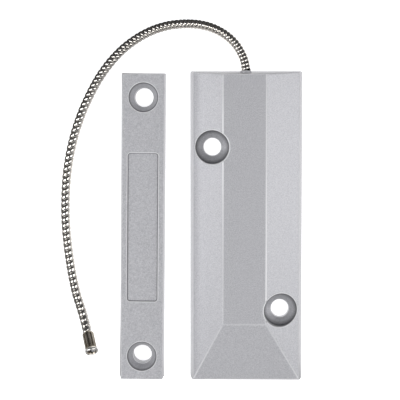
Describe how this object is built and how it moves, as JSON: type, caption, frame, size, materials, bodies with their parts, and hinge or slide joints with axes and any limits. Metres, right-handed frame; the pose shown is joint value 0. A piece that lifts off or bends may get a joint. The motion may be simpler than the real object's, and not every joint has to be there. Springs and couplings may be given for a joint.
{
  "type": "door contact sensor",
  "caption": "Surface-mount magnetic door contact: die-cast switch unit with an armoured steel lead, and a slim die-cast magnet unit with countersunk screw holes.",
  "frame": {"origin": "middle of the switch unit's back face, in the plane both units are screwed down on", "axes": "+Y along the units towards the end the armoured lead leaves, +Z out of the mounting surface, +X from the magnet unit to the switch unit"},
  "size_m": [0.0842, 0.1262, 0.011],
  "materials": {
    "cast_paint": "fine silver-grey metallic powder paint on a zinc die casting",
    "epoxy": "black potting epoxy, poured",
    "carrier_plastic": "moulded",
    "reed_glass": "clear, slightly green",
    "reed_metal": "plated nickel-iron strip",
    "sleeve_rubber": "heat-shrink tube",
    "wire_black": "wire insulation",
    "wire_white": "wire insulation",
    "hose_steel": "bright wound steel strip",
    "ferrule_nickel": "dull nickel on brass, crimped",
    "ferrite": "sintered magnet"
  },
  "bodies": {
    "switch_unit": {"switch_housing": "cast_paint", "switch_potting": "epoxy", "reed_carrier": "carrier_plastic", "reed_glass": "reed_glass", "reed_blade_fixed": "reed_metal", "moving_blade_lead": "reed_metal", "solder_sleeve_upper": "sleeve_rubber", "solder_sleeve_lower": "sleeve_rubber", "lead_wire_black": "wire_black", "lead_wire_white": "wire_white", "hose_anchor": "ferrule_nickel", "hose_bush": "cast_paint", "armour_hose": "hose_steel", "end_ferrule": "ferrule_nickel", "wire_end_black": "wire_black", "wire_end_white": "wire_white"},
    "reed_armature": {"reed_blade_moving": "reed_metal"},
    "magnet_unit": {"magnet_housing": "cast_paint", "magnet_potting": "epoxy", "magnet_carrier": "carrier_plastic", "bar_magnet_upper": "ferrite", "bar_magnet_lower": "ferrite"}
  },
  "joints": [
    {"name": "magnet_lift", "type": "slide", "parent": "switch_unit", "child": "magnet_unit", "axis": [0, 0, 1], "range_m": [0, 0.05]},
    {"name": "reed_open", "type": "hinge", "parent": "switch_unit", "child": "reed_armature", "pos_m": [0.00013, 0.009, 0.005], "axis": [0, 0, 1], "range_deg": [0, 1.2]}
  ],
  "couplings": [
    {"joint": "reed_open", "follows": "magnet_lift", "rad_per_m": 0.4188}
  ]
}
